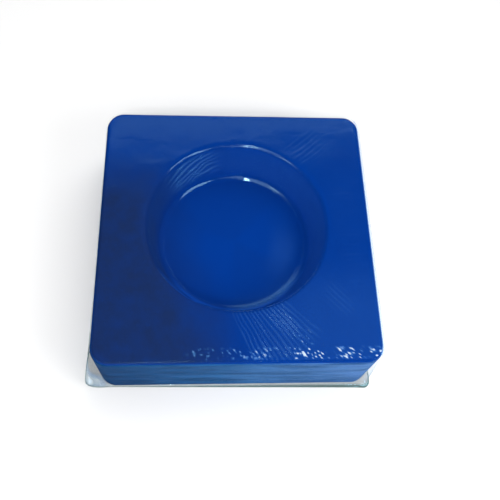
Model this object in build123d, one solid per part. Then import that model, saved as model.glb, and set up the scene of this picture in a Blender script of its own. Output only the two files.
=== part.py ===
from build123d import *
import math
import os

# A film-wrapped block of cue chalk: a square pressed block with a round dish in its top, a paper
# band round its four sides, a paper square under it, and a clear film drawn down over it and
# welded to a second film beneath.
# Millimetres. +Z is up and -Y is the front. The origin is the centre of the block's footprint,
# on the plane that the wrapped block rests on.

# Driving dimensions
WRAPPED_SIDE = 25.0  # across the film at the top face
WRAPPED_HEIGHT = 8.0
FILM = 0.1
PAPER = 0.1
CORNER_R = 1.5  # the block's upright corners
TOP_EDGE_R = 0.5  # the rounding round the top face

# The dish, on the bare chalk
DISH_BACK_SHIFT = 0.4  # it is pressed a little behind the block's centre
DISH_MOUTH_R = 8.3
DISH_FLOOR_R = 7.1
DISH_DEPTH = 4.1
DISH_RIM_ROUND = 0.5
DISH_FLOOR_ROUND = 0.8

# The paper
LABEL_GAP = 0.3  # between the band's two ends, on the back
BASE_LABEL_SIDE = 23.0
BASE_LABEL_CORNER_R = 1.2

# The film's skirt leaves the sides a little on its way down to the weld
SKIRT_SPREAD = 0.15  # how far its foot stands out beyond the top face, each side
SKIRT_FOOT_CORNER_R = 0.7
FLANGE_WIDTH = 0.3
FLANGE_CORNER_R = 0.5

# Ears: what the trimming leaves of the weld at each corner, as (x, y, width, depth)
EARS = {
    "front_left": (-12.6, -11.4, 2.4, 3.1),
    "front_right": (12.0, -12.1, 2.2, 1.9),
    "back_right": (12.1, 12.0, 2.0, 2.0),
    "back_left": (-12.2, 12.0, 2.2, 2.0),
}
EAR_CORNER_R = 0.7

# Fins: at each upright corner the spare film stands out as a thin double fold above its ear
FIN_THICKNESS = 2 * FILM
FIN_TOP = 6.4
FIN_SHORT_OF_EAR = 0.5

# Worked out from those
BLOCK_SIDE = WRAPPED_SIDE - 2 * FILM - 2 * PAPER
BAND_SIDE = BLOCK_SIDE + 2 * PAPER
BLOCK_BOTTOM = FILM + PAPER
BLOCK_TOP = WRAPPED_HEIGHT - FILM
BAND_TOP = BLOCK_TOP - TOP_EDGE_R
SHOULDER = BAND_TOP - 2 * FILM  # the film hugs the block above this height
BAND_CORNER_R = CORNER_R + PAPER
WRAPPED_CORNER_R = BAND_CORNER_R + FILM
FOOT_SIDE = WRAPPED_SIDE + 2 * SKIRT_SPREAD
FLANGE_SIDE = FOOT_SIDE + 2 * FLANGE_WIDTH


def square_at(height, side, corner_r):
    """A level square outline with rounded corners."""
    return Pos(0, 0, height) * RectangleRounded(side, side, corner_r)


def prism(side, corner_r, bottom, top):
    """An upright square prism with rounded upright corners."""
    return extrude(square_at(bottom, side, corner_r), top - bottom)


def soft_topped(side, corner_r, bottom, top):
    """The same prism with the edges round its top face rounded too."""
    block = prism(side, corner_r, bottom, top)
    return fillet(block.faces().sort_by(Axis.Z)[-1].edges(), TOP_EDGE_R)


def dish_cutter(top, lining):
    """The dish's hollow below a top face, made smaller all round by a lining."""
    floor_z = top - DISH_DEPTH
    mouth_r = DISH_MOUTH_R - lining
    above = top + 1.0
    half_section = Polyline(
        (0, above),
        (0, floor_z),
        (DISH_FLOOR_R - lining, floor_z),
        (mouth_r, top),
        (mouth_r, above),
        close=True,
    )
    hollow = revolve(Plane.XZ * make_face(half_section), Axis.Z)
    floor_edge = hollow.edges().filter_by(GeomType.CIRCLE).sort_by(Axis.Z)[0]
    return Pos(0, DISH_BACK_SHIFT, 0) * fillet(floor_edge, DISH_FLOOR_ROUND - lining)


def with_dish(solid, top, lining, rim_round):
    """The solid with the dish cut in its top and the dish's rim rounded."""
    hollow = solid - dish_cutter(top, lining)
    top_face = hollow.faces().filter_by(GeomType.PLANE).sort_by(Axis.Z)[-1]
    return fillet(top_face.inner_wires()[0].edges(), rim_round)


def chalk_block():
    block = soft_topped(BLOCK_SIDE, CORNER_R, BLOCK_BOTTOM, BLOCK_TOP)
    return with_dish(block, BLOCK_TOP, 0, DISH_RIM_ROUND)


def side_label():
    """A paper band glued round the four sides, its two ends meeting on the back."""
    band = prism(BAND_SIDE, BAND_CORNER_R, BLOCK_BOTTOM, BAND_TOP)
    band -= prism(BLOCK_SIDE, CORNER_R, BLOCK_BOTTOM, BAND_TOP)
    seam = Pos(0, BAND_SIDE / 2, WRAPPED_HEIGHT / 2) * Box(LABEL_GAP, 4 * PAPER, WRAPPED_HEIGHT)
    return band - seam


def base_label():
    """A paper square glued under the block."""
    return prism(BASE_LABEL_SIDE, BASE_LABEL_CORNER_R, FILM, BLOCK_BOTTOM)


def skirt(wall):
    """The film's outside below the shoulder, or its inside where a wall is taken off."""
    foot = square_at(FILM, FOOT_SIDE - 2 * wall, SKIRT_FOOT_CORNER_R - wall)
    shoulder = square_at(SHOULDER, WRAPPED_SIDE - 2 * wall, WRAPPED_CORNER_R - wall)
    return loft([foot, shoulder])


def film_body(wall):
    """The whole space inside the film, or with no wall, the space inside its outer surface."""
    top = WRAPPED_HEIGHT - wall
    cap = soft_topped(WRAPPED_SIDE - 2 * wall, WRAPPED_CORNER_R - wall, SHOULDER, top)
    return with_dish(skirt(wall) + cap, top, FILM - wall, DISH_RIM_ROUND + FILM - wall)


def fin(x, y, width, depth):
    """A thin upright triangle from a corner of the skirt out to near the end of its ear."""
    reach = math.hypot(abs(x) + width / 2, abs(y) + depth / 2) - FIN_SHORT_OF_EAR
    root = math.hypot(WRAPPED_SIDE / 2, WRAPPED_SIDE / 2) - WRAPPED_CORNER_R
    outline = Polyline((root, FILM), (reach, FILM), (root, FIN_TOP), close=True)
    plate = extrude(Plane.XZ * make_face(outline), FIN_THICKNESS / 2, both=True)
    return Rot(0, 0, math.degrees(math.atan2(y, x))) * plate


def flange_outline():
    """The weld round the foot, with the ear that the trimming leaves at each corner."""
    outline = RectangleRounded(FLANGE_SIDE, FLANGE_SIDE, FLANGE_CORNER_R)
    for x, y, width, depth in EARS.values():
        outline += Pos(x, y) * RectangleRounded(width, depth, EAR_CORNER_R)
    return outline


def upper_film():
    """The film drawn down over the block and into its dish, with its half of the weld."""
    outside = film_body(0) + extrude(Pos(0, 0, FILM) * flange_outline(), FILM)
    for ear in EARS.values():
        outside += fin(*ear)
    return outside - film_body(FILM)


def lower_film():
    """The flat film under the block, with its half of the weld."""
    return extrude(flange_outline(), FILM)


PARTS = {
    "chalk_block": chalk_block(),
    "side_label": side_label(),
    "base_label": base_label(),
    "upper_film": upper_film(),
    "lower_film": lower_film(),
}

os.makedirs("parts", exist_ok=True)
for name, shape in PARTS.items():
    export_step(shape, f"parts/{name}.step")
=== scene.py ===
import math

import bpy
import numpy as np
from mathutils import Matrix, Vector


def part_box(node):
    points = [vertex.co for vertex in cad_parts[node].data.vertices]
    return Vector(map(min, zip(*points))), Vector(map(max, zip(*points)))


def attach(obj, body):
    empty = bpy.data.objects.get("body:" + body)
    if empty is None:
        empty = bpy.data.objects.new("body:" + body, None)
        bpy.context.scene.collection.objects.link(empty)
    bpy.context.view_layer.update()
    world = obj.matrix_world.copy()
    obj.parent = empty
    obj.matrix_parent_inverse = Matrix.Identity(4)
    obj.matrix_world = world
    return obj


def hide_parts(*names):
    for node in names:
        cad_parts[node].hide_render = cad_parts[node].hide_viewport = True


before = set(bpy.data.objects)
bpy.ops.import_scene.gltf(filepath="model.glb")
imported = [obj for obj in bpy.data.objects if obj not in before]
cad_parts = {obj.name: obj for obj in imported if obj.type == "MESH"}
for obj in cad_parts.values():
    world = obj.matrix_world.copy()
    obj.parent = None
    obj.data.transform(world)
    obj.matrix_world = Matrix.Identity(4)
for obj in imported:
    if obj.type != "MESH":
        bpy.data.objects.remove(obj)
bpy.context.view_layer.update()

MM = 0.001

# ---------------------------------------------------------------- places read from the frame

block_low, block_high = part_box("chalk_block")
_, label_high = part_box("side_label")
_, upper_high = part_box("upper_film")
lower_low, lower_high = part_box("lower_film")

BLOCK_HALF = block_high.x
BLOCK_BOTTOM, BLOCK_TOP = block_low.z, block_high.z
LABEL_HALF, LABEL_TOP = label_high.x, label_high.z
FILM_TOP = upper_high.z
BASE_Z, WELD_Z = lower_low.z, lower_high.z

# ---------------------------------------------------------------- the block's own sizes, metres

BLOCK_CORNER = 1.5 * MM
TOP_EDGE = 0.35 * MM
DISH_CENTRE = Vector((0.0, 0.4 * MM, 0.0))
DISH_MOUTH = 8.3 * MM
DISH_FLOOR = 7.1 * MM
DISH_DEPTH = 4.1 * MM
RIM_ROUND = 0.5 * MM
FLOOR_ROUND = 0.8 * MM
BRIDGED_ROUND = 1.2 * MM  # of the film where it bridges the floor's edge
TAUT_RIM = 0.15 * MM  # of the film where it is pulled tight over the near rim

CLEAR_OF_CHALK = 0.06 * MM  # the film's outer face above the chalk
FILM_WALL = 0.03 * MM
PAPER_EASE = 0.01 * MM  # between the paper and the film's top edge
CORNER_EASE = 0.1 * MM  # added to the radius of the film's upright corners
SKIRT_SPREAD = 0.05 * MM
SKIRT_FOOT = 0.12 * MM  # where the skirt turns out into the flange, above the weld
FOOT_CORNER = 0.7 * MM
FLANGE_RISE = (0.09, 0.07, 0.06)  # of each ring of the flange above the weld, millimetres


# ---------------------------------------------------------------- small tools

def smooth(edge0, edge1, x):
    """Smooth step from 0 at edge0 to 1 at edge1."""
    t = np.clip((x - edge0) / (edge1 - edge0), 0.0, 1.0)
    return t * t * (3.0 - 2.0 * t)


def bell(x, middle, width, power=2):
    """1 at the middle and falling off to both sides. A power of 4 gives a flatter top."""
    return np.exp(-(((x - middle) / width) ** power))


def turned(degrees, middle):
    """How far each angle is turned from the middle one, from -180 to 180 degrees."""
    return (degrees - middle + 180) % 360 - 180


def value_noise(x, y, seed):
    """Smooth noise from -1 to 1 with features one unit across."""
    n = 64  # cells each way before the noise repeats
    table = np.random.default_rng(seed).uniform(-1.0, 1.0, (n, n))
    xi, yi = np.floor(x).astype(int), np.floor(y).astype(int)
    xf, yf = x - xi, y - yi
    xf, yf = xf * xf * (3 - 2 * xf), yf * yf * (3 - 2 * yf)
    a = table[xi % n, yi % n]
    b = table[(xi + 1) % n, yi % n]
    c = table[xi % n, (yi + 1) % n]
    d = table[(xi + 1) % n, (yi + 1) % n]
    return (a * (1 - xf) + b * xf) * (1 - yf) + (c * (1 - xf) + d * xf) * yf


def square_radius(angle, half, corner):
    """How far out a square with rounded corners reaches at each angle, from its centre."""
    c, s = np.abs(np.cos(angle)), np.abs(np.sin(angle))
    flat = half / np.maximum(c, s)
    inner = half - corner
    along = inner * (c + s)
    rounded = along + np.sqrt(np.maximum(along**2 - (2 * inner**2 - corner**2), 0.0))
    on_corner = (flat * np.minimum(c, s)) > inner
    return np.where(on_corner, rounded, flat)


def link_mesh(name, mesh):
    """Smooth a mesh and put it in the scene as an object."""
    mesh.shade_smooth()
    made = bpy.data.objects.new(name, mesh)
    bpy.context.scene.collection.objects.link(made)
    return made


def grid_mesh(name, rings, centre, closing):
    """A mesh from rings of points, each joined to the next, with a fan to a centre at each end."""
    count = len(rings[0])
    faces = []
    for k in range(len(rings) - 1):
        a, b = k * count, (k + 1) * count
        for i in range(count):
            j = (i + 1) % count
            faces.append((a + i, b + i, b + j, a + j))
    total = count * len(rings)
    last = total - count
    faces += [(total, i, (i + 1) % count) for i in range(count)]
    faces += [(total + 1, last + (i + 1) % count, last + i) for i in range(count)]
    mesh = bpy.data.meshes.new(name)
    mesh.from_pydata(np.concatenate([*rings, [centre], [closing]]).tolist(), [], faces)
    mesh.validate()
    return link_mesh(name, mesh)


def mark_points(mesh, label, values):
    """Give each point of a mesh a number that a material can read."""
    mesh.attributes.new(label, "FLOAT", "POINT").data.foreach_set("value", np.asarray(values, np.float32))


def arc(centre_r, centre_z, radius, start, end, steps):
    """Points (r, z) along an arc in a radial section, with angles in degrees from +r towards +z."""
    turns = np.radians(np.linspace(start, end, steps))
    return [(centre_r + radius * math.cos(t), centre_z + radius * math.sin(t)) for t in turns]


def dish_section(lining, floor_round, rim_round, floor_steps, fillet_steps, wall_steps, rim_steps):
    """The dish from near its centre out to the flat top, as rows of (r, z) from its axis.
    lining lifts the surface off the chalk by that much; the roundings are the floor's and the rim's."""
    lean = math.atan2(DISH_MOUTH - DISH_FLOOR, DISH_DEPTH)
    chalk_floor = BLOCK_TOP - DISH_DEPTH

    def wall_at(z):
        """How far the leaning wall is from the axis at a height."""
        return DISH_FLOOR + (z - chalk_floor) * math.tan(lean) - lining / math.cos(lean)

    floor_z = chalk_floor + lining
    fillet = floor_round - lining
    rim = rim_round + lining
    fillet_z = floor_z + fillet
    fillet_r = wall_at(fillet_z) - fillet / math.cos(lean)
    rim_z = BLOCK_TOP + lining - rim
    rim_r = wall_at(rim_z) + rim / math.cos(lean)
    lean_degrees = math.degrees(lean)
    points = [(r, floor_z) for r in np.linspace(0.03, 1.0, floor_steps)[:-1] ** 0.8 * fillet_r]
    points += arc(fillet_r, fillet_z, fillet, -90, -lean_degrees, fillet_steps)
    low = points[-1]
    rim_arc = arc(rim_r, rim_z, rim, 180 - lean_degrees, 90, rim_steps)
    high = rim_arc[0]
    points += [
        (low[0] + (high[0] - low[0]) * t, low[1] + (high[1] - low[1]) * t)
        for t in np.linspace(0, 1, wall_steps + 2)[1:-1]
    ]
    return np.array(points + rim_arc)


# ---------------------------------------------------------------- camera

SENSOR_MM = 36.0
FRAME_PIXELS = 500.0
FOCAL_PIXELS = 665.83
CAMERA_SHIFT = -0.1
CAMERA_AZIMUTH = 9.39
CAMERA_ELEVATION = 62.39
CAMERA_ROLL = 8.73
CAMERA_DISTANCE = 61.82 * MM
CAMERA_AIM = Vector((1.28 * MM, 2.74 * MM, FILM_TOP))


def make_camera():
    azimuth, elevation = math.radians(CAMERA_AZIMUTH), math.radians(CAMERA_ELEVATION)
    ahead = Vector((
        math.sin(azimuth) * math.cos(elevation),
        math.cos(azimuth) * math.cos(elevation),
        -math.sin(elevation),
    ))
    right = Vector((math.cos(azimuth), -math.sin(azimuth), 0.0))
    up = right.cross(ahead)
    roll = math.radians(CAMERA_ROLL)
    rolled_right = math.cos(roll) * right + math.sin(roll) * up
    rolled_up = -math.sin(roll) * right + math.cos(roll) * up
    data = bpy.data.cameras.new("camera")
    data.sensor_width = SENSOR_MM
    data.lens = SENSOR_MM * FOCAL_PIXELS / FRAME_PIXELS
    data.shift_y = CAMERA_SHIFT
    data.clip_start = 1 * MM
    data.clip_end = 20.0
    camera = bpy.data.objects.new("camera", data)
    bpy.context.scene.collection.objects.link(camera)
    turn = Matrix((rolled_right, rolled_up, -ahead)).transposed().to_4x4()
    camera.matrix_world = Matrix.Translation(CAMERA_AIM - CAMERA_DISTANCE * ahead) @ turn
    bpy.context.scene.camera = camera


# ---------------------------------------------------------------- tools for materials

def new_material(name):
    material = bpy.data.materials.new(name)
    material.use_nodes = True
    nodes = material.node_tree.nodes
    nodes.clear()
    output = nodes.new("ShaderNodeOutputMaterial")
    return material, material.node_tree, output


def add(tree, kind, **settings):
    node = tree.nodes.new(kind)
    for key, value in settings.items():
        setattr(node, key, value)
    return node


def object_place(tree):
    return add(tree, "ShaderNodeTexCoord").outputs["Object"]


def mark(tree, label):
    """A number that the mesh holds for each of its points."""
    return add(tree, "ShaderNodeAttribute", attribute_name=label).outputs["Fac"]


def split(tree, vector):
    node = add(tree, "ShaderNodeSeparateXYZ")
    tree.links.new(vector, node.inputs[0])
    return node.outputs["X"], node.outputs["Y"], node.outputs["Z"]


def stretch(tree, vector, scale):
    node = add(tree, "ShaderNodeMapping")
    node.inputs["Scale"].default_value = scale
    tree.links.new(vector, node.inputs["Vector"])
    return node.outputs[0]


def noise(tree, coordinates, scale, detail=3.0, rough=0.55, distortion=0.0):
    """Noise with about this many features to the metre."""
    node = add(tree, "ShaderNodeTexNoise")
    node.inputs["Scale"].default_value = scale
    node.inputs["Detail"].default_value = detail
    node.inputs["Roughness"].default_value = rough
    node.inputs["Distortion"].default_value = distortion
    tree.links.new(coordinates, node.inputs["Vector"])
    return node.outputs["Fac"]


def ramp(tree, value, stops):
    node = add(tree, "ShaderNodeValToRGB")
    ends = node.color_ramp.elements
    while len(ends) > 1:
        ends.remove(ends[-1])
    ends[0].position, ends[0].color = stops[0][0], (*stops[0][1], 1.0)
    for place, colour in stops[1:]:
        ends.new(place).color = (*colour, 1.0)
    tree.links.new(value, node.inputs["Fac"])
    return node.outputs["Color"]


def scale_range(tree, value, low, high, out_low, out_high):
    """A value between low and high, carried over to the range from out_low to out_high."""
    node = add(tree, "ShaderNodeMapRange")
    node.inputs["From Min"].default_value = low
    node.inputs["From Max"].default_value = high
    node.inputs["To Min"].default_value = out_low
    node.inputs["To Max"].default_value = out_high
    tree.links.new(value, node.inputs["Value"])
    return node.outputs["Result"]


def feed(tree, socket, value):
    """Link a socket to another one's output, or set it to a colour or a number."""
    if isinstance(value, bpy.types.NodeSocket):
        tree.links.new(value, socket)
    elif isinstance(value, tuple):
        socket.default_value = (*value, 1.0)
    else:
        socket.default_value = value


def mix_colour(tree, factor, a, b, mode="MIX"):
    node = add(tree, "ShaderNodeMix", data_type="RGBA", blend_type=mode)
    for index, value in ((0, factor), (6, a), (7, b)):
        feed(tree, node.inputs[index], value)
    return node.outputs[2]


def maths(tree, operation, a, b):
    node = add(tree, "ShaderNodeMath", operation=operation)
    feed(tree, node.inputs[0], a)
    feed(tree, node.inputs[1], b)
    return node.outputs[0]


def mix_shaders(tree, factor, a, b):
    node = add(tree, "ShaderNodeMixShader")
    for socket, value in zip(node.inputs, (factor, a, b)):
        tree.links.new(value, socket)
    return node.outputs[0]


def bump(tree, height, strength, distance, normal=None):
    node = add(tree, "ShaderNodeBump")
    node.inputs["Strength"].default_value = strength
    node.inputs["Distance"].default_value = distance
    tree.links.new(height, node.inputs["Height"])
    if normal is not None:
        tree.links.new(normal, node.inputs["Normal"])
    return node.outputs["Normal"]


# ---------------------------------------------------------------- chalk's material

CHALK_BLUE = (0.0008, 0.0256, 0.186)
PAINTED_SHADE_BLUE = (0.0072, 0.0190, 0.078)
DISH_LIGHTENED_BLUE = (0.0008, 0.0285, 0.208)
WALL_PAINTED_LIGHT_BLUE = (0.0060, 0.060, 0.37)
MOTTLE_BLUE = (0.001, 0.031, 0.21)
GRAIN_BLUE = (0.002, 0.036, 0.22)


def outside_painted_shade(tree, x, y, cloud):
    """0 where shade is painted on the chalk, towards the front left, and 1 elsewhere."""
    slanted = maths(tree, "ADD", x, maths(tree, "MULTIPLY", y, 0.35))
    wandering = maths(tree, "ADD", slanted, maths(tree, "MULTIPLY", cloud, 5.0 * MM))
    unshaded = scale_range(tree, wandering, -6.5 * MM, 0.0, 0.0, 1.0)
    far = scale_range(tree, y, 3.0 * MM, 8.0 * MM, 0.0, 1.0)
    return maths(tree, "MAXIMUM", unshaded, far)


def painted_light_on_dish_wall(tree, x, y, z):
    """How much painted light lifts the dish's walls out of their shade: most at the right and along the near
    side.
    """
    floor_z = BLOCK_TOP - DISH_DEPTH
    above_floor = scale_range(tree, z, floor_z + 0.15 * MM, floor_z + 0.6 * MM, 0.0, 1.0)
    wall_lightening = scale_range(tree, x, -7.0 * MM, 7.0 * MM, 0.15, 0.8)
    wall = maths(tree, "MULTIPLY", above_floor, wall_lightening)
    near = scale_range(tree, y, -3.0 * MM, -6.0 * MM, 0.0, 0.9)
    fillet = scale_range(tree, z, floor_z + 0.01 * MM, floor_z + 0.15 * MM, 0.0, 1.0)
    wall = maths(tree, "MAXIMUM", wall, maths(tree, "MULTIPLY", near, fillet))
    below_rim = scale_range(tree, z, BLOCK_TOP - 0.4 * MM, BLOCK_TOP - 0.1 * MM, 1.0, 0.0)
    return maths(tree, "MULTIPLY", wall, below_rim)


def chalk_material():
    material, tree, output = new_material("pressed_chalk")
    place = object_place(tree)
    cloud = noise(tree, place, 160.0, 2.0)
    mottle = noise(tree, place, 700.0, 5.0)
    grain = noise(tree, place, 6000.0, 3.0)
    x, y, z = split(tree, place)
    # Painted shade: the chalk is darker towards the front left, where less light falls
    tone = mix_colour(tree, outside_painted_shade(tree, x, y, cloud), PAINTED_SHADE_BLUE, CHALK_BLUE)
    # Painted light: the chalk is a little paler at the bottom of the dish, lifting the recess's shade
    dish_lightening = scale_range(tree, z, BLOCK_TOP - 2.5 * MM, BLOCK_TOP - 4.0 * MM, 0.0, 0.55)
    tone = mix_colour(tree, dish_lightening, tone, DISH_LIGHTENED_BLUE)
    # Painted light on the dish's walls and the near edge of its floor, strongest at the right
    tone = mix_colour(tree, painted_light_on_dish_wall(tree, x, y, z), tone, WALL_PAINTED_LIGHT_BLUE)
    tone = mix_colour(tree, scale_range(tree, mottle, 0.35, 0.7, 0.0, 0.2), tone, MOTTLE_BLUE)
    tone = mix_colour(tree, scale_range(tree, grain, 0.55, 0.75, 0.0, 0.15), tone, GRAIN_BLUE)
    shader = add(tree, "ShaderNodeBsdfPrincipled")
    tree.links.new(tone, shader.inputs["Base Color"])
    tree.links.new(scale_range(tree, mottle, 0.3, 0.7, 0.82, 0.98), shader.inputs["Roughness"])
    shader.inputs["Specular IOR Level"].default_value = 0.0
    pores = bump(tree, grain, 0.4, 0.02 * MM)
    tree.links.new(bump(tree, mottle, 0.3, 0.05 * MM, pores), shader.inputs["Normal"])
    tree.links.new(shader.outputs[0], output.inputs["Surface"])
    return material


# ---------------------------------------------------------------- paper's material

PAPER_SHADED = (0.001, 0.034, 0.130)
PAPER_MIDDLE = (0.010, 0.088, 0.270)
PAPER_LIT = (0.040, 0.132, 0.375)
SHEEN_STREAK_DARKER = (0.60, 0.70, 0.74)
SHEEN_STREAK_PALER = (1.7, 1.36, 1.26)
CUT_EDGE_SHADE = (0.95, 0.95, 0.95)


def paper_material():
    material, tree, output = new_material("label_paper")
    place = object_place(tree)
    streaks = noise(tree, stretch(tree, place, (0.62, 0.62, 3.6)), 330.0, 3.0, 0.55, 0.4)
    fibres = noise(tree, place, 3500.0, 4.0)
    # Painted light and shade: the paper is dark at the left and paler towards the right, as if lit from the
    # right
    x, _, z = split(tree, place)
    drift = maths(tree, "ADD", x, maths(tree, "MULTIPLY", noise(tree, place, 120.0), 4.0 * MM))
    off = scale_range(tree, drift, -11.0 * MM, 13.0 * MM, 0.0, 1.0)
    tone = ramp(tree, off, [(0.0, PAPER_SHADED), (0.45, PAPER_MIDDLE), (1.0, PAPER_LIT)])
    # Painted reflection: horizontal dark and pale streaks, as the film's ripples would mirror them onto the
    # paper
    sheen_streak = scale_range(tree, streaks, 0.38, 0.62, 0.0, 1.0)
    darker = mix_colour(tree, 1.0, tone, SHEEN_STREAK_DARKER, "MULTIPLY")
    paler = mix_colour(tree, 1.0, tone, SHEEN_STREAK_PALER, "MULTIPLY")
    tone = mix_colour(tree, sheen_streak, darker, paler)
    # Painted shade: the paper's top cut edge is a little dark, against the light falling on it from above
    at_cut = scale_range(tree, z, LABEL_TOP - 0.06 * MM, LABEL_TOP - 0.01 * MM, 0.0, 1.0)
    tone = mix_colour(tree, at_cut, tone, mix_colour(tree, 1.0, tone, CUT_EDGE_SHADE, "MULTIPLY"))
    shader = add(tree, "ShaderNodeBsdfPrincipled")
    tree.links.new(tone, shader.inputs["Base Color"])
    tree.links.new(scale_range(tree, fibres, 0.3, 0.7, 0.7, 0.9), shader.inputs["Roughness"])
    shader.inputs["Specular IOR Level"].default_value = 0.05
    tree.links.new(bump(tree, fibres, 0.35, 0.02 * MM), shader.inputs["Normal"])
    tree.links.new(shader.outputs[0], output.inputs["Surface"])
    return material


# ---------------------------------------------------------------- film's material

FILM_TINT = [
    # how far the film is turned from the viewer, and the colour it lets through
    (0.0, (0.996, 0.997, 0.997)),
    (0.85, (0.99, 0.994, 0.993)),
    (0.95, (0.95, 0.965, 0.96)),
    (1.0, (0.45, 0.58, 0.55)),
]
WELD_TINT = (0.60, 0.70, 0.69)
GLOSS_COLOUR = (0.40, 0.78, 1.0, 1.0)
PAINTED_SHEEN_BLUE = (0.13, 0.45, 1.0)
PAINTED_GLINT_WHITE = (0.74, 0.88, 1.0)


def film_material(name):
    """Clear film: see-through, with the gloss of plastic and a grey green tint where it is seen edge on.
    The mesh's own marks say where it is sealed, how glossy it is and how much light is painted on it."""
    material, tree, output = new_material(name)
    place = object_place(tree)
    streaks = noise(tree, stretch(tree, place, (1.0, 1.0, 9.0)), 330.0, 3.0, 0.55, 0.5)
    waves = noise(tree, place, 1100.0, 2.0, 0.5, 0.8)
    patches = noise(tree, place, 250.0, 3.0)
    facing = add(tree, "ShaderNodeLayerWeight")
    facing.inputs["Blend"].default_value = 0.5
    turned_away = facing.outputs["Facing"]
    clear = add(tree, "ShaderNodeBsdfTransparent")
    tint = mix_colour(tree, mark(tree, "seal"), ramp(tree, turned_away, FILM_TINT), WELD_TINT)
    tree.links.new(tint, clear.inputs["Color"])
    shine = add(tree, "ShaderNodeBsdfGlossy")
    shine.inputs["Color"].default_value = GLOSS_COLOUR
    # The film is drawn tighter and smoother in the dish
    _, _, z = split(tree, place)
    in_dish = scale_range(tree, z, BLOCK_TOP - 0.3 * MM, BLOCK_TOP - 0.05 * MM, 0.5, 1.0)
    rough = maths(tree, "MULTIPLY", scale_range(tree, patches, 0.3, 0.7, 0.11, 0.15), in_dish)
    tree.links.new(rough, shine.inputs["Roughness"])
    normal = bump(tree, waves, 0.2, 0.02 * MM, bump(tree, streaks, 0.5, 0.1 * MM))
    tree.links.new(normal, shine.inputs["Normal"])
    amount = scale_range(tree, turned_away, 0.2, 1.0, 0.045, 0.055)
    amount = maths(tree, "MULTIPLY", amount, mark(tree, "gloss"))
    glossy = mix_shaders(tree, amount, clear.outputs[0], shine.outputs[0])
    # Painted light on the film: weak marks are a painted sheen in the chalk's blue, strong ones are white
    # painted glints
    painted_light = mark(tree, "painted_light")
    painted_light_shader = add(tree, "ShaderNodeBsdfDiffuse")
    glint_share = scale_range(tree, painted_light, 0.17, 0.34, 0.0, 1.0)
    tree.links.new(mix_colour(tree, glint_share, PAINTED_SHEEN_BLUE, PAINTED_GLINT_WHITE), painted_light_shader.inputs["Color"])
    tree.links.new(mix_shaders(tree, painted_light, glossy, painted_light_shader.outputs[0]), output.inputs["Surface"])
    return material


# ---------------------------------------------------------------- the chalk

CHALK_AROUND = 480
CHALK_DISH_STEPS = (22, 9, 16, 7)  # floor, floor's edge, wall, rim
CHALK_TOP_STEPS = 26
CHALK_EDGE_STEPS = 8
CHALK_SIDE_STEPS = 24
FOOT_EASE = 0.1 * MM  # height of the slight chamfer round the chalk's foot
DIP_MM = 0.010
BITE_MM = 0.035


def crumble(ring):
    """Pressed powder is never quite true: shallow dips all over and small crumbled bites on the top edges."""
    x, y, z = ring[:, 0] / MM, ring[:, 1] / MM, ring[:, 2] / MM
    dip = DIP_MM * (value_noise(x * 0.9 + z, y * 0.9 - z, 11) - 1.0)
    bite = BITE_MM * np.clip(value_noise(x * 3.1, y * 3.1 + z * 2.0, 12) - 0.45, 0, 1)
    near_top = abs(ring[0, 2] - BLOCK_TOP) < TOP_EDGE
    ring[:, 2] += (dip - bite * near_top) * MM


def make_chalk():
    angle = np.linspace(0, 2 * math.pi, CHALK_AROUND, endpoint=False)
    ray = np.stack([np.cos(angle), np.sin(angle)], 1)
    rings = []

    def lay(flat, z):
        rings.append(np.column_stack([flat, np.full(CHALK_AROUND, z)]))

    for r, z in dish_section(0.0, FLOOR_ROUND, RIM_ROUND, *CHALK_DISH_STEPS):
        lay(ray * r + np.array(DISH_CENTRE[:2]), z)
    mouth = rings[-1][:, :2]
    edge_half = BLOCK_HALF - TOP_EDGE
    edge = ray * square_radius(angle, edge_half, BLOCK_CORNER - TOP_EDGE)[:, None]
    for t in np.linspace(0, 1, CHALK_TOP_STEPS)[1:]:
        lay(mouth + (edge - mouth) * t, BLOCK_TOP)
    for turn in np.radians(np.linspace(90, 0, CHALK_EDGE_STEPS)[1:]):
        half = edge_half + TOP_EDGE * math.cos(turn)
        corner = BLOCK_CORNER - TOP_EDGE + TOP_EDGE * math.cos(turn)
        z = BLOCK_TOP - TOP_EDGE + TOP_EDGE * math.sin(turn)
        lay(ray * square_radius(angle, half, corner)[:, None], z)
    side, side_top = rings[-1][:, :2], rings[-1][0, 2]
    crumbled = len(rings) - 1
    for z in np.linspace(side_top, BLOCK_BOTTOM + FOOT_EASE, CHALK_SIDE_STEPS)[1:]:
        lay(side, z)
    lay(side * 0.995, BLOCK_BOTTOM)
    lay(side * 0.5, BLOCK_BOTTOM)
    for ring in rings[:crumbled]:
        crumble(ring)
    centre = (DISH_CENTRE.x, DISH_CENTRE.y, rings[0][0, 2])
    chalk = grid_mesh("chalk_block_pressed", rings, centre, (0.0, 0.0, BLOCK_BOTTOM))
    chalk.data.materials.append(chalk_material())
    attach(chalk, "root")
    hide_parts("chalk_block")


# ---------------------------------------------------------------- the film's folds, creases and ears

def folds(x, y, centre, size, heading, pitch, seed):
    """Parallel fine folds within a soft-edged patch. heading is the way the folds run, in degrees;
    size is the patch's half length and half width. All in millimetres."""
    turn = math.radians(heading)
    dx, dy = x - centre[0], y - centre[1]
    along = dx * math.cos(turn) + dy * math.sin(turn)
    across = -dx * math.sin(turn) + dy * math.cos(turn)
    patch = np.exp(-((along / size[0]) ** 4) - (across / size[1]) ** 4)
    wander = 0.25 * value_noise(along * 0.35 + 7, across * 0.35, seed)
    swell = 0.65 + 0.5 * value_noise(along * 0.6, across * 1.8, seed + 1)
    return patch * swell * np.sin(2 * math.pi * (across + wander) / pitch)


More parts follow.
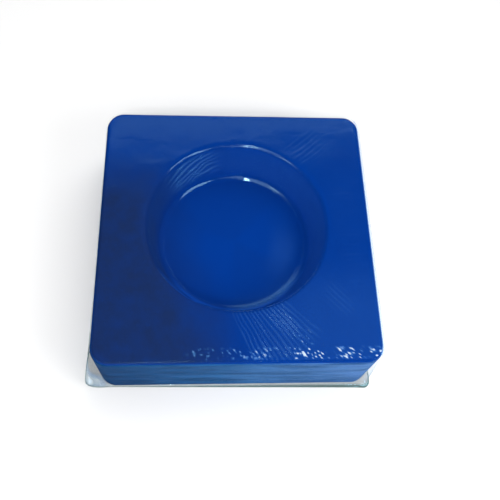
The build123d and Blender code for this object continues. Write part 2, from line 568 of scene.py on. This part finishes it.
def fan(x, y, origin, reach, spread, pitch, seed):
    """Fine folds that fan out from an origin, between two distances and two angles in degrees.
    pitch is the angle from one fold to the next. Places are in millimetres."""
    dx, dy = x - origin[0], y - origin[1]
    out = np.hypot(dx, dy)
    turn = np.degrees(np.arctan2(dy, dx))
    patch = smooth(reach[0], reach[0] + 1.0, out) * (1 - smooth(reach[1] - 1.5, reach[1], out))
    patch = patch * smooth(spread[0], spread[0] + 3, turn) * (1 - smooth(spread[1] - 3, spread[1], turn))
    wander = 0.25 * pitch * value_noise(out * 0.8, turn * 0.25, seed)
    swell = 0.75 + 0.4 * value_noise(out * 0.7, turn * 0.9, seed + 1)
    return patch * swell * np.sin(2 * math.pi * (turn + wander) / pitch)


def film_folds(x, y):
    """How far the film's fine folds lift it on the flat top, in millimetres, for places in millimetres."""
    lift = 0.020 * fan(x, y, (-4.2, 0.2), (8.0, 15.6), (-68, -40), 1.75, 21)
    lift += 0.009 * folds(x, y, (8.9, -6.8), (1.6, 1.0), -44, 0.40, 22)
    lift += 0.010 * folds(x, y, (7.3, 8.4), (2.2, 1.7), 42, 0.44, 23)
    return lift + 0.005 * folds(x, y, (10.3, 0.0), (1.1, 6.0), 4, 0.50, 24)


def film_swell(x, y):
    """The film's slow unevenness on the flat top, in millimetres."""
    return 0.010 * value_noise(x * 0.35, y * 0.35, 26) + 0.002 * value_noise(x * 1.7, y * 1.7, 27)


def front_creases(x, y):
    """How sharply the film is creased behind the front edge, from 0 to 1: a row, and one pair behind it."""
    row = smooth(-11.0, -11.3, y) * (1 - smooth(-11.95, -12.15, y)) * smooth(-5.2, -4.4, x)
    share = 0.45 + 0.55 * smooth(2.6, 4.0, x)
    pair = smooth(-9.9, -10.2, y) * (1 - smooth(-10.7, -10.9, y))
    pair = pair * smooth(4.9, 5.3, x) * (1 - smooth(6.3, 6.7, x))
    slanted = 0.8 * value_noise(x * 5.2 + y * 4.4, y * 3.4 - x * 1.5, 31)
    slanted += 0.4 * value_noise(x * 8.0, y * 8.0, 32)
    lumps = value_noise(x * 0.8, y * 0.3, 33)
    return np.maximum(row * share, pair) * smooth(0.28, 0.75, slanted + 0.45 * lumps)


def painted_top_light(x, y):
    """Painted light on the film's flat top: a faint painted sheen at the near right and the far side, painted
    highlights along its folds and painted glints on its creases."""
    near_right = 0.022 * smooth(-2, -8, y) * smooth(0, 7, x)
    far = 0.014 * smooth(7.5, 11.5, y)
    fold_highlights = 0.062 * np.clip(film_folds(x, y) / 0.018, 0, 1)
    return near_right + far + fold_highlights + 0.55 * front_creases(x, y)


EARS = [
    # where round the block, half widths before and after it (degrees), reach (mm), heading of the reach and
    # where its crease is (degrees)
    (221.5, 9.0, 4.4, 1.20, 192.0, 225.0),
    (315.5, 2.5, 3.0, 0.10, 318.0, 316.0),
    (44.0, 4.0, 4.0, 0.40, 40.0, 45.0),
    (135.5, 5.0, 5.0, 0.55, 150.0, 137.0),
]
EAR_CRUMPLE = 0.11 * MM
CREASE_WIDTH = 0.9  # of an ear's crease, degrees
EAR_HIGHLIGHT_AT, EAR_HIGHLIGHT_WIDTH = 224.4, 0.7  # of the painted highlight in the front left ear, degrees


def ear_shift(degrees):
    """How far the ears carry the film's foot out, as x and y in metres, and how near each ear's crease is."""
    shift = np.zeros((degrees.size, 2))
    ridge = np.zeros(degrees.size)
    for middle, before, after, reach, heading, crease in EARS:
        off = turned(degrees, middle)
        peak = bell(off, 0, np.where(off < 0, before, after), 4)
        turn = math.radians(heading)
        shift += (peak * reach * MM)[:, None] * np.array([math.cos(turn), math.sin(turn)])
        ridge = np.maximum(ridge, bell(turned(degrees, crease), 0, CREASE_WIDTH) * min(reach, 1.0))
    return shift, ridge


def flange_outline(foot, ears):
    """The welded flange's edge: narrow, and widest towards the right of the front."""
    x, y = foot[:, 0] / MM, foot[:, 1] / MM
    sideways = 0.08 * smooth(11.0, 12.3, x) - 0.05 * smooth(-11.0, -12.3, x)
    front = -(0.18 + 0.016 * x) * smooth(-10.5, -12.2, y)
    back = 0.14 * smooth(11.0, 12.3, y)
    return foot + np.column_stack([sideways, front + back]) * MM + ears


# ---------------------------------------------------------------- the upper film

FILM_AROUND = 704  # a multiple of COARSE
COARSE = 4  # the inner face has one point for this many of the outer face's
# Rings in each face: the dish's floor, its floor's edge, wall and rim, the flat top, its edge, the skirt and
# the flange
OUTER_STEPS = (6, 9, 26, 8, 48, 7, 16, 4)
INNER_STEPS = (3, 4, 4, 4, 12, 4, 12, 4)
WALL_RIPPLE_MM = 0.012
WALL_RIPPLE_PITCH = 0.50
CLUNG_GLOSS = 0.85  # the share of its gloss that the film loses where it clings to the chalk


def film_angles():
    """Angles round the block, closer together at the front right, where the film is most wrinkled,
    and at the back left of the dish."""
    fine = np.linspace(-math.pi, math.pi, 4001)
    density = 1.0 + 2.2 * bell(fine, -1.15, 0.6) + bell(fine, 2.25, 0.4)
    total = np.concatenate([[0.0], np.cumsum((density[1:] + density[:-1]) / 2)])
    wanted = np.linspace(0, total[-1], FILM_AROUND, endpoint=False)
    return np.interp(wanted, total, fine)


def clinging(degrees):
    """Where the film clings to the chalk: left and near left of the dish, and right of it."""
    left = smooth(150, 175, degrees % 360) * (1 - smooth(255, 275, degrees % 360))
    return np.maximum(left, smooth(-38, -20, degrees) * (1 - smooth(38, 58, degrees)))


class FilmFace:
    """One face of the upper film, laid ring by ring from the middle of the dish out to the flange.
    clear is how far the face is outside the chalk and paper; detail is 1 with folds, gloss and painted light
    and 0 without.
    Its marks say how sealed and glossy the film is at each point, and how much light is painted on it."""

    def __init__(self, angle, clear, steps, detail):
        self.angle, self.clear, self.steps, self.detail = angle, clear, steps, detail
        self.degrees = np.degrees(angle)
        self.ray = np.stack([np.cos(angle), np.sin(angle)], 1)
        self.edge_half = LABEL_HALF + clear - TOP_EDGE + PAPER_EASE
        self.edge_corner = BLOCK_CORNER + CORNER_EASE + clear - TOP_EDGE
        self.top_z = BLOCK_TOP + clear
        self.rings = []
        self.marks = {"seal": [], "painted_light": [], "gloss": []}

    def lay(self, flat, z, seal=0.0, painted_light=0.0, gloss=1.0):
        count = self.angle.size
        self.rings.append(np.column_stack([flat, np.broadcast_to(z, count)]))
        for label, value in (("seal", seal), ("painted_light", painted_light * self.detail), ("gloss", gloss * self.detail)):
            self.marks[label].append(np.broadcast_to(np.asarray(value, float), count))

    def section(self, floor_round, rim_round):
        """The dish's section with these roundings of the floor's edge and the rim."""
        return dish_section(self.clear, floor_round, rim_round, *self.steps[:4])

    def square(self, half, corner):
        """A square with rounded corners, at the face's angles."""
        return self.ray * square_radius(self.angle, half, corner)[:, None]

    def lifted(self, flat, share):
        """How far folds, swells and creases lift the flat top."""
        x, y = flat[:, 0] / MM, flat[:, 1] / MM
        lift = film_folds(x, y) + film_swell(x, y) + 0.03 * front_creases(x, y)
        return np.clip(lift * share * self.detail, -0.03, 0.038) * MM


def lay_dish(face):
    """The film follows the floor's edge closely at the back, bridges it at the near right and is pulled tight
    over the near rim. It is finely rippled on the wall at the back left."""
    degrees = face.degrees
    middle = np.array(DISH_CENTRE[:2])
    tight = face.section(FLOOR_ROUND, RIM_ROUND)
    loose = face.section(BRIDGED_ROUND, RIM_ROUND)
    taut = face.section(FLOOR_ROUND, TAUT_RIM)
    near = smooth(15, -15, 90 - np.abs(turned(degrees, 90)))
    bridged = bell(turned(degrees, -50), 0, 52, 4)
    rippled = bell(degrees, 123, 19, 4)
    gloss = 1 - CLUNG_GLOSS * clinging(degrees)
    for places in zip(tight, loose, taut):
        r, z = (a + (b - a) * bridged + (c - a) * near for a, b, c in zip(*places))
        zm = z / MM
        height = smooth(0.8, 1.5, zm - (BLOCK_TOP - DISH_DEPTH) / MM)
        # Ripples that climb round the wall, then painted sheen and gloss by angle and by distance from the
        # dish's axis
        climb = zm * 0.9 + (degrees - 128) * 0.030 + 0.3 * value_noise(degrees * 0.1, zm, 41)
        wave = np.sin(2 * math.pi * climb / WALL_RIPPLE_PITCH)
        r = r - face.detail * WALL_RIPPLE_MM * rippled * wave * height * MM
        wall = height * smooth(0.1, 0.7, BLOCK_TOP / MM - zm)
        # Painted sheen: a faint lift over the wall, stripes on its ripples, a patch on the floor at the right
        # and a crescent where the film bridges at the near right
        wall_sheen = wall * (0.012 + 0.19 * rippled * np.clip(wave, 0, 1))
        floor_sheen = 0.035 * bell(degrees, -14, 28) * bell(r / MM, 4.8, 0.9)
        bridge_sheen = 0.12 * bell(degrees, -62, 30, 4) * bell(r / MM, 6.75, 0.35)
        far_edge = 0.9 * bell(degrees, 68, 26, 4) * bell(r / MM, 6.9, 0.5)
        painted_light = wall_sheen + floor_sheen + bridge_sheen
        face.lay(face.ray * r[:, None] + middle, z, painted_light=painted_light, gloss=gloss + far_edge)


def lay_top(face):
    """The flat top and its rounded edge."""
    mouth = face.rings[-1][:, :2]
    edge = face.square(face.edge_half, face.edge_corner)
    clung = CLUNG_GLOSS * clinging(face.degrees)
    for t in np.linspace(0, 1, face.steps[4])[1:]:
        flat = mouth + (edge - mouth) * t
        at_mouth = smooth(0.0, 0.08, t)
        gloss = 1 - clung * (1 - at_mouth) - 0.9 * smooth(0.93, 1.0, t)
        painted_light = painted_top_light(flat[:, 0] / MM, flat[:, 1] / MM)
        face.lay(flat, face.top_z + face.lifted(flat, at_mouth), painted_light=painted_light, gloss=gloss)
    for turn in np.radians(np.linspace(90, 0, face.steps[5])[1:]):
        out = TOP_EDGE * math.cos(turn)
        flat = face.square(face.edge_half + out, face.edge_corner + out)
        z = face.top_z - TOP_EDGE + TOP_EDGE * math.sin(turn) + face.lifted(flat, math.sin(turn))
        # Painted highlight: a whitish band along the right top edge
        face.lay(flat, z, painted_light=0.3 * smooth(11.8, 12.2, flat[:, 0] / MM), gloss=0.1)


def lay_skirt(face):
    """The skirt, with an ear at each corner, and the welded flange at its foot, whose outline it returns."""
    degrees = face.degrees
    shoulder, shoulder_z = face.rings[-1][:, :2], face.top_z - TOP_EDGE
    foot_z = WELD_Z + SKIRT_FOOT
    foot = face.square(face.edge_half + TOP_EDGE + SKIRT_SPREAD, FOOT_CORNER)
    ears, ridge = ear_shift(degrees)
    near_ear = np.clip(np.linalg.norm(ears, axis=1) / (0.3 * MM), 0, 1)
    highlight_line = bell(degrees % 360, EAR_HIGHLIGHT_AT, EAR_HIGHLIGHT_WIDTH)
    around = face.angle * 14.0

    for t in np.linspace(0, 1, face.steps[6])[1:]:
        down = np.full(face.angle.size, t)
        flat = shoulder + (foot - shoulder) * t + ears * t**1.1
        ripple = 0.020 * value_noise(around * 0.45, down * 8.0, 51)
        ripple += 0.010 * value_noise(around * 0.9, down * 15.0, 52)
        crumple = value_noise(degrees * 0.55, down * 11.0, 53) * near_ear * EAR_CRUMPLE * smooth(0.4, 0.7, t)
        swell = ripple * math.sin(math.pi * min(t * 1.2, 1.0)) * MM + crumple * (1 - t * 0.5)
        outward = flat / np.linalg.norm(flat, axis=1)[:, None]
        # Painted light on the ears: a white painted highlight in the front left ear, and a whitish painted
        # light that lifts the shade inside every ear
        ear_highlight = 0.9 * highlight_line * smooth(0.6, 0.75, t)
        ear_painted_light = near_ear * smooth(0.35, 0.6, t) * (0.30 + 0.16 * value_noise(degrees * 0.7, down * 6.0, 54))
        face.lay(
            flat + outward * (swell * face.detail)[:, None],
            shoulder_z + (foot_z - shoulder_z) * t,
            seal=0.4 * ridge * smooth(0.35, 0.6, t),
            painted_light=np.maximum(ear_highlight, ear_painted_light) * (1 - smooth(0.9, 1.0, t)),
            gloss=0.1 + 0.9 * smooth(-11, 9, flat[:, 0] / MM),
        )
    last = face.rings[-1][:, :2]
    flange = flange_outline(foot, ears)
    for t, rise, seal in zip(np.linspace(0, 1, face.steps[7])[1:], FLANGE_RISE, (0.4, 1.0, 1.0)):
        z = WELD_Z + (rise + face.clear / MM - CLEAR_OF_CHALK / MM) * MM
        face.lay(last + (flange - last) * t, z, seal=seal)
    return flange


def film_face(angle, clear, steps, detail):
    """A whole face of the film, and the outline of its flange."""
    face = FilmFace(angle, clear, steps, detail)
    lay_dish(face)
    lay_top(face)
    return face, lay_skirt(face)


def make_upper_film():
    angle = film_angles()
    outer, flange = film_face(angle, CLEAR_OF_CHALK, OUTER_STEPS, 1.0)
    inner, _ = film_face(angle[::COARSE], CLEAR_OF_CHALK - FILM_WALL, INNER_STEPS, 0.0)
    points, faces = [], []
    marks = {label: [] for label in outer.marks}

    def join(face, flip):
        """Add a face's points and quads, with a fan at its middle, and return where its last ring starts."""
        start = sum(len(ring) for ring in points)
        width = face.angle.size
        hub = start + len(face.rings) * width
        made = []
        for k in range(len(face.rings) - 1):
            for i in range(width):
                a, b = start + k * width + i, start + k * width + (i + 1) % width
                made.append((a, a + width, b + width, b))
        made += [(hub, start + i, start + (i + 1) % width) for i in range(width)]
        faces.extend([corners[::-1] for corners in made] if flip else made)
        points.extend(face.rings)
        points.append(np.array([[DISH_CENTRE.x, DISH_CENTRE.y, face.rings[0][0, 2]]]))
        for label, values in face.marks.items():
            marks[label] += [*values, values[0][:1]]
        return hub - width

    rim = join(outer, False)
    inner_rim = join(inner, True)
    count, few = outer.angle.size, inner.angle.size
    for j in range(few):
        across = [rim + (j * COARSE + i) % count for i in range(COARSE + 1)]
        faces.append((*across[::-1], inner_rim + j, inner_rim + (j + 1) % few))
    mesh = bpy.data.meshes.new("upper_film_drawn")
    mesh.from_pydata(np.concatenate(points).tolist(), [], faces)
    for label, values in marks.items():
        mark_points(mesh, label, np.concatenate(values))
    film = link_mesh("upper_film_drawn", mesh)
    film.data.materials.append(film_material("clear_film"))
    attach(film, "root")
    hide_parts("upper_film")
    return flange


# ---------------------------------------------------------------- the lower film

SHEET_SHARES = (0.3, 0.7, 0.97, 1.0)  # of the way out to the flange's edge, for each ring


def make_lower_film(flange):
    rings = []
    for z, shares in ((WELD_Z, SHEET_SHARES), (BASE_Z, SHEET_SHARES[::-1])):
        rings += [np.column_stack([flange * share, np.full(len(flange), z)]) for share in shares]
    sheet = grid_mesh("lower_film_flat", rings, (0, 0, WELD_Z), (0, 0, BASE_Z))
    mark_points(sheet.data, "gloss", np.ones(len(sheet.data.vertices)))
    sheet.data.materials.append(film_material("clear_film_flat"))
    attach(sheet, "root")
    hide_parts("lower_film")


# ---------------------------------------------------------------- paper

def paint_labels():
    paper = paper_material()
    for node in ("side_label", "base_label"):
        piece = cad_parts[node]
        piece.data.materials.clear()
        piece.data.materials.append(paper)


# ---------------------------------------------------------------- floor and light

FLOOR_SIZE = 3.0
FLOOR_GREY = (0.77, 0.77, 0.77, 1.0)
ROOM_LIGHT = 0.34
ROOM_IN_GLOSS = 0.03


def make_floor():
    bpy.ops.mesh.primitive_plane_add(size=FLOOR_SIZE, location=(0, 0, 0))
    floor = bpy.context.object
    floor.name = "floor"
    material, tree, output = new_material("pale_floor")
    shader = add(tree, "ShaderNodeBsdfPrincipled")
    shader.inputs["Base Color"].default_value = FLOOR_GREY
    shader.inputs["Roughness"].default_value = 0.6
    tree.links.new(shader.outputs[0], output.inputs["Surface"])
    floor.data.materials.append(material)


def soft_light(name, direction, distance, width, height, radiance, mirrored=True):
    """A soft box that faces the block, with distance and sizes in millimetres and radiance as the floor
    sees it. One that isn't mirrored lights the scene without showing in the gloss."""
    data = bpy.data.lights.new(name, "AREA")
    data.shape = "RECTANGLE"
    data.size, data.size_y = width * MM, height * MM
    data.energy = radiance * math.pi * data.size * data.size_y
    lamp = bpy.data.objects.new(name, data)
    away = Vector(direction).normalized()
    lamp.location = Vector((0, 0, FILM_TOP)) + away * distance * MM
    lamp.rotation_euler = away.to_track_quat("Z", "Y").to_euler()
    lamp.visible_camera = False
    lamp.visible_glossy = mirrored
    bpy.context.scene.collection.objects.link(lamp)


def make_lights():
    # The main light and the fronts light the block; the cards give its broad sheens and the spots its glints
    soft_light("main", (0.30, 0.45, 0.84), 260, 180, 180, 2.75, mirrored=False)
    soft_light("front", (-0.35, -0.62, 0.70), 150, 200, 100, 1.3)
    soft_light("front_top", (-0.22, -0.30, 0.93), 150, 70, 45, 1.5)
    soft_light("card_left", (-0.55, 0.04, 0.83), 150, 56, 70, 0.6)
    soft_light("key_right", (0.62, -0.42, 0.66), 60, 34, 34, 6.0)
    soft_light("card_back", (-0.08, 0.76, 0.63), 150, 190, 84, 0.8)
    soft_light("card_back_right", (0.52, 0.60, 0.60), 150, 70, 66, 1.2)
    soft_light("spot_front", (-0.13, -0.55, 0.82), 110, 11, 8, 90.0)
    soft_light("spot_top", (-0.07, -0.15, 0.98), 110, 9, 9, 35.0)
    soft_light("spot_left", (-0.60, -0.47, 0.65), 110, 20, 16, 9.0)


def make_room():
    """The room lights the scene evenly, and its walls are dark in the gloss."""
    world = bpy.data.worlds.new("studio")
    bpy.context.scene.world = world
    world.use_nodes = True
    tree = world.node_tree
    background = tree.nodes["Background"]
    background.inputs["Color"].default_value = (1.0, 1.0, 1.0, 1.0)
    in_gloss = tree.nodes.new("ShaderNodeLightPath").outputs["Is Glossy Ray"]
    strength = scale_range(tree, in_gloss, 0.0, 1.0, ROOM_LIGHT, ROOM_IN_GLOSS)
    tree.links.new(strength, background.inputs["Strength"])


# ---------------------------------------------------------------- all of it

bpy.context.scene.view_settings.view_transform = "Standard"
make_camera()
make_floor()
make_lights()
make_room()
make_chalk()
paint_labels()
film_outline = make_upper_film()
make_lower_film(film_outline)

bpy.context.view_layer.update()
